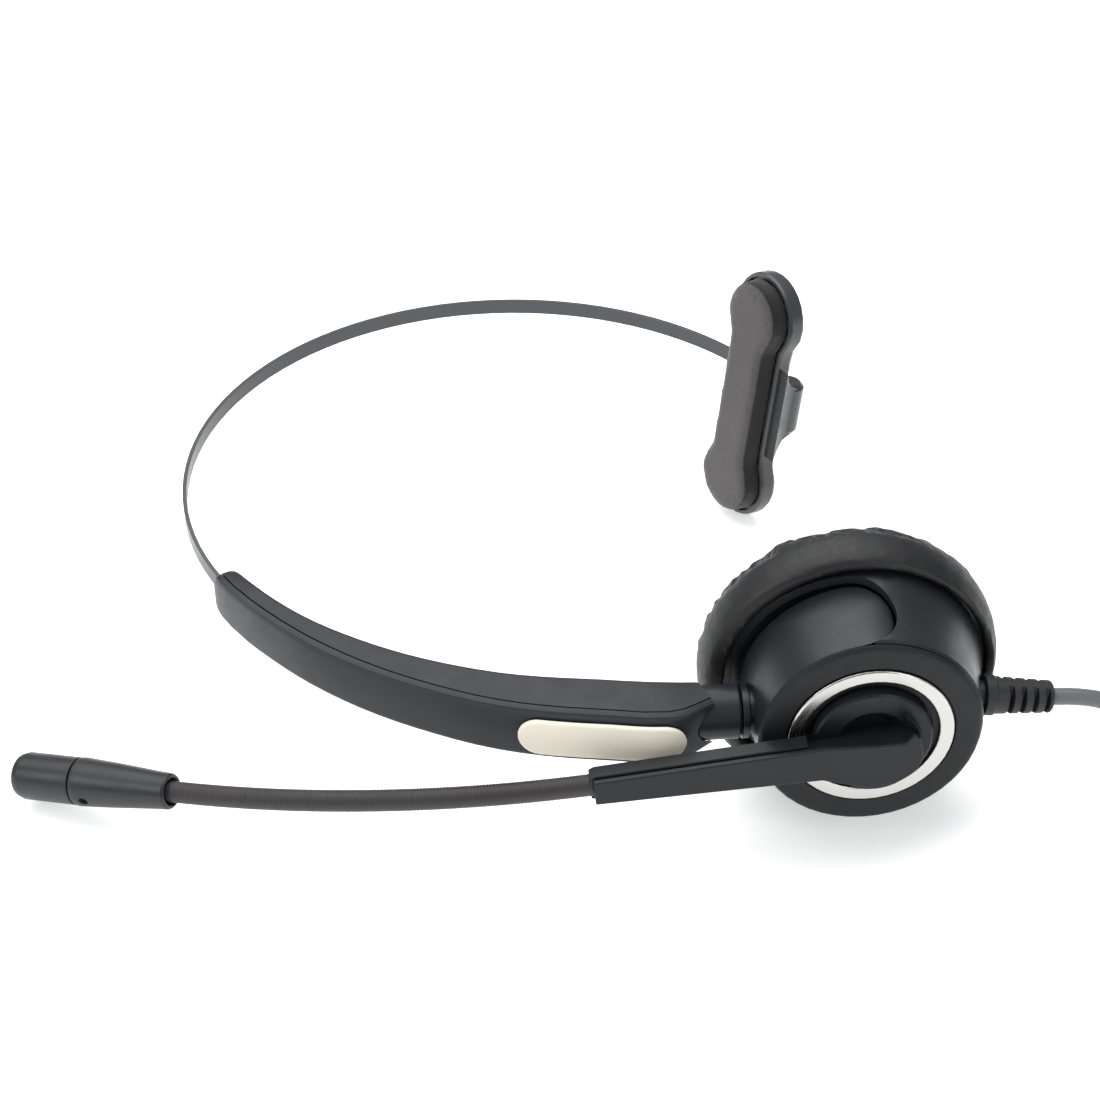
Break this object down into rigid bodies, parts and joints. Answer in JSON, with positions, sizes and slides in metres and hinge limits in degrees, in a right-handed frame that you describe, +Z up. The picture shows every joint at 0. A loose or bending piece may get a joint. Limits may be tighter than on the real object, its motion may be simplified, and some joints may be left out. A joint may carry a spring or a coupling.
{
  "type": "office headset",
  "caption": "Single-ear call-centre headset with steel headband, temple pad, padded ear cup, swinging microphone boom with gooseneck, and a coiled cord with a modular plug",
  "frame": {"origin": "centre of the underside of the headset as it lies on a desk, cord left out", "axes": "+Z up from the desk; +X from the microphone towards the ear cup and the cord; +Y from the ear cup towards the temple pad"},
  "size_m": [0.2909, 0.1631, 0.0577],
  "materials": {
    "body_plastic": "satin moulded",
    "cap_plastic": "fine matte",
    "boom_plastic": "satin moulded",
    "band_steel": "dark finish, bright edges",
    "satin_chrome": "satin plated",
    "badge_plate": "smooth light insert",
    "leatherette": "soft padded, wrinkled at the rim",
    "pad_foam": "soft matte foam face",
    "pad_plastic": "semi-gloss",
    "ear_foam": "acoustic cloth over thin foam",
    "gooseneck": "finely ribbed flexible sleeve",
    "mic_plastic": "satin moulded",
    "steel": "turned",
    "speaker_metal": "stamped",
    "diaphragm": "thin film",
    "board": "circuit board",
    "cord": "smooth flexible jacket",
    "relief_rubber": "flexible moulding",
    "tie": "hook and loop strap",
    "plug_clear": "clear moulded",
    "gold": "plated contacts"
  },
  "bodies": {
    "ear_cup": {"cup_housing": "body_plastic", "cup_side_cover": "body_plastic", "cup_cap": "cap_plastic", "chrome_ring": "satin_chrome", "ear_cushion": "leatherette", "cushion_disc": "ear_foam", "speaker_grille": "cap_plastic", "speaker_frame": "speaker_metal", "speaker_magnet": "speaker_metal", "speaker_diaphragm": "diaphragm", "terminal_board": "board", "tilt_pin_top": "steel", "tilt_pin_bottom": "steel", "strain_relief": "relief_rubber", "hub_spring_washer": "steel", "cord_lead": "cord", "cord_coil": "cord", "cord_tie": "tie", "cord_tail": "cord", "plug_body": "plug_clear", "plug_contact_1": "gold", "plug_contact_2": "gold", "plug_contact_3": "gold", "plug_contact_4": "gold"},
    "yoke": {"yoke": "body_plastic", "swivel_washer": "steel", "swivel_screw": "steel"},
    "arm": {"arm_outer_shell": "body_plastic", "arm_inner_shell": "body_plastic", "arm_screw_1": "steel", "arm_screw_2": "steel", "badge_plate": "badge_plate", "detent_spring": "steel"},
    "band": {"headband_ribbon": "band_steel", "band_stop": "body_plastic", "pad_hinge_pin": "steel"},
    "temple_pad": {"temple_plate": "pad_plastic", "temple_foam": "pad_foam"},
    "boom": {"boom_arm": "boom_plastic", "boom_cover": "boom_plastic", "hub_retainer": "steel", "hub_screw": "steel", "gooseneck_link_1": "gooseneck"},
    "gooseneck_2": {"gooseneck_link_2": "gooseneck"},
    "gooseneck_3": {"gooseneck_link_3": "gooseneck"},
    "gooseneck_4": {"gooseneck_link_4": "gooseneck"},
    "gooseneck_5": {"gooseneck_link_5": "gooseneck"},
    "microphone": {"gooseneck_link_6": "gooseneck", "mic_body": "mic_plastic", "mic_cap": "mic_plastic", "mic_capsule": "speaker_metal", "mic_foam": "ear_foam"},
    "latch": {"plug_latch": "plug_clear"}
  },
  "joints": [
    {"name": "yoke_tilt", "type": "hinge", "parent": "ear_cup", "child": "yoke", "pos_m": [0.06125, -0.05935, 0.02761], "axis": [0, -0.0297, 0.9996], "range_deg": [-4, 0]},
    {"name": "arm_swivel", "type": "hinge", "parent": "yoke", "child": "arm", "pos_m": [0.06125, -0.05935, 0.02761], "axis": [-0.9968, -0.0802, -0.0024], "range_deg": [-40, 40]},
    {"name": "band_extension", "type": "hinge", "parent": "arm", "child": "band", "pos_m": [-0.00347, 0.01213, 0.02973], "axis": [0, -0.0297, 0.9996], "range_deg": [-15, 0]},
    {"name": "pad_hinge", "type": "hinge", "parent": "band", "child": "temple_pad", "pos_m": [0.05518, 0.04239, 0.03058], "axis": [0.1078, 0.0379, 0.9935], "range_deg": [0, 15]},
    {"name": "boom_turn", "type": "hinge", "parent": "ear_cup", "child": "boom", "pos_m": [0.06153, -0.06284, 0.02751], "axis": [0.0802, -0.9963, -0.0296], "range_deg": [-170, 90]},
    {"name": "gooseneck_bend_1", "type": "hinge", "parent": "boom", "child": "gooseneck_2", "pos_m": [0.00382, -0.07655, 0.0218], "axis": [0.1133, -0.1963, -0.974], "range_deg": [-5, 4]},
    {"name": "gooseneck_bend_2", "type": "hinge", "parent": "gooseneck_2", "child": "gooseneck_3", "pos_m": [-0.01181, -0.07637, 0.01995], "axis": [0.1133, -0.1963, -0.974], "range_deg": [-5, 4]},
    {"name": "gooseneck_bend_3", "type": "hinge", "parent": "gooseneck_3", "child": "gooseneck_4", "pos_m": [-0.02732, -0.07481, 0.01783], "axis": [0.1133, -0.1963, -0.974], "range_deg": [-5, 4]},
    {"name": "gooseneck_bend_4", "type": "hinge", "parent": "gooseneck_4", "child": "gooseneck_5", "pos_m": [-0.04261, -0.07188, 0.01546], "axis": [0.1133, -0.1963, -0.974], "range_deg": [-5, 4]},
    {"name": "gooseneck_bend_5", "type": "hinge", "parent": "gooseneck_5", "child": "microphone", "pos_m": [-0.05753, -0.0676, 0.01286], "axis": [0.1133, -0.1963, -0.974], "range_deg": [-5, 4]},
    {"name": "latch_flex", "type": "hinge", "parent": "ear_cup", "child": "latch", "pos_m": [0.1904, -0.0384, 0.00705], "axis": [1, 0, 0], "range_deg": [0, 12], "stiffness_Nm_per_rad": 0.004}
  ],
  "couplings": [
    {"joint": "gooseneck_bend_2", "follows": "gooseneck_bend_1", "ratio": 1},
    {"joint": "gooseneck_bend_3", "follows": "gooseneck_bend_1", "ratio": 1},
    {"joint": "gooseneck_bend_4", "follows": "gooseneck_bend_1", "ratio": 1},
    {"joint": "gooseneck_bend_5", "follows": "gooseneck_bend_1", "ratio": 1}
  ]
}
